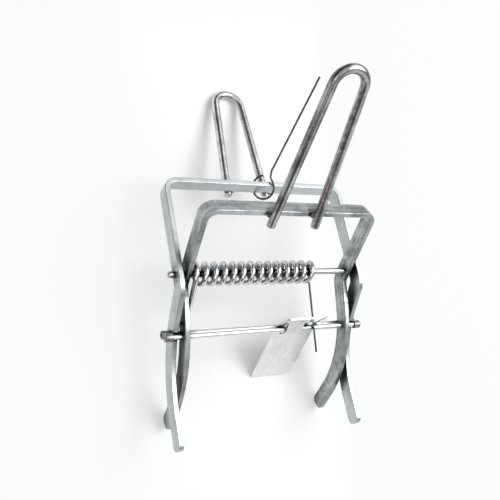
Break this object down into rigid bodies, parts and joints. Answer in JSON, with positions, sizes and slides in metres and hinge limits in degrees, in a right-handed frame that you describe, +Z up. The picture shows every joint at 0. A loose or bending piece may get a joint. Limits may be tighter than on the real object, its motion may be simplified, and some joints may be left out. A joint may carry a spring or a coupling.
{
  "type": "scissor mole trap",
  "caption": "Scissor mole trap of bent steel strip lying on its back, with looped rod handles, a coil spring on the pivot rod, a hinged trigger plate, a trip wire and a hook wire.",
  "frame": {"origin": "centre of the bounding box in X and Y, on the surface that the trap lies on", "axes": "+Z up, +Y along the trap towards the handles, +X along the pivot rod; the trap lies on its back, the outer frame's side down"},
  "size_m": [0.1294, 0.219, 0.1415],
  "materials": {
    "zinc_strip": "bright zinc plated, lightly scuffed",
    "handle_rod": "drawn rod, dull zinc",
    "zinc_rod": "bright zinc plated",
    "weld_metal": "dull",
    "spring_wire": "bright drawn spring wire",
    "zinc_sheet": "satin zinc",
    "dark_wire": "dark drawn wire"
  },
  "bodies": {
    "outer_jaw": {"outer_frame": "zinc_strip", "outer_handle": "handle_rod", "outer_welds": "weld_metal", "pivot_rod": "zinc_rod", "outer_crossbar": "zinc_rod", "outer_bar_collars": "weld_metal", "torsion_spring": "spring_wire"},
    "inner_jaw": {"inner_frame": "zinc_strip", "inner_handle": "handle_rod", "inner_welds": "weld_metal", "inner_crossbar": "zinc_rod", "inner_bar_collars": "weld_metal"},
    "plate": {"trigger_plate": "zinc_sheet"},
    "trip": {"trip_wire": "dark_wire"},
    "hook": {"hook_wire": "dark_wire"}
  },
  "joints": [
    {"name": "jaw_hinge", "type": "hinge", "parent": "outer_jaw", "child": "inner_jaw", "pos_m": [0, -0.01427, 0.04408], "axis": [-1, 0, 0], "range_deg": [0, 45], "stiffness_Nm_per_rad": 1.6, "springref_deg": -34.38, "deforming": ["torsion_spring"]},
    {"name": "plate_hinge", "type": "hinge", "parent": "inner_jaw", "child": "plate", "pos_m": [0, -0.0478, 0.03728], "axis": [-1, 0, 0], "range_deg": [0, 50]},
    {"name": "trip_swing", "type": "hinge", "parent": "inner_jaw", "child": "trip", "pos_m": [0, -0.01427, 0.04408], "axis": [-1, 0, 0], "range_deg": [0, 30]},
    {"name": "hook_swing", "type": "hinge", "parent": "outer_jaw", "child": "hook", "pos_m": [0, 0.03945, 0.02991], "axis": [-1, 0, 0], "range_deg": [-5, 50]}
  ]
}
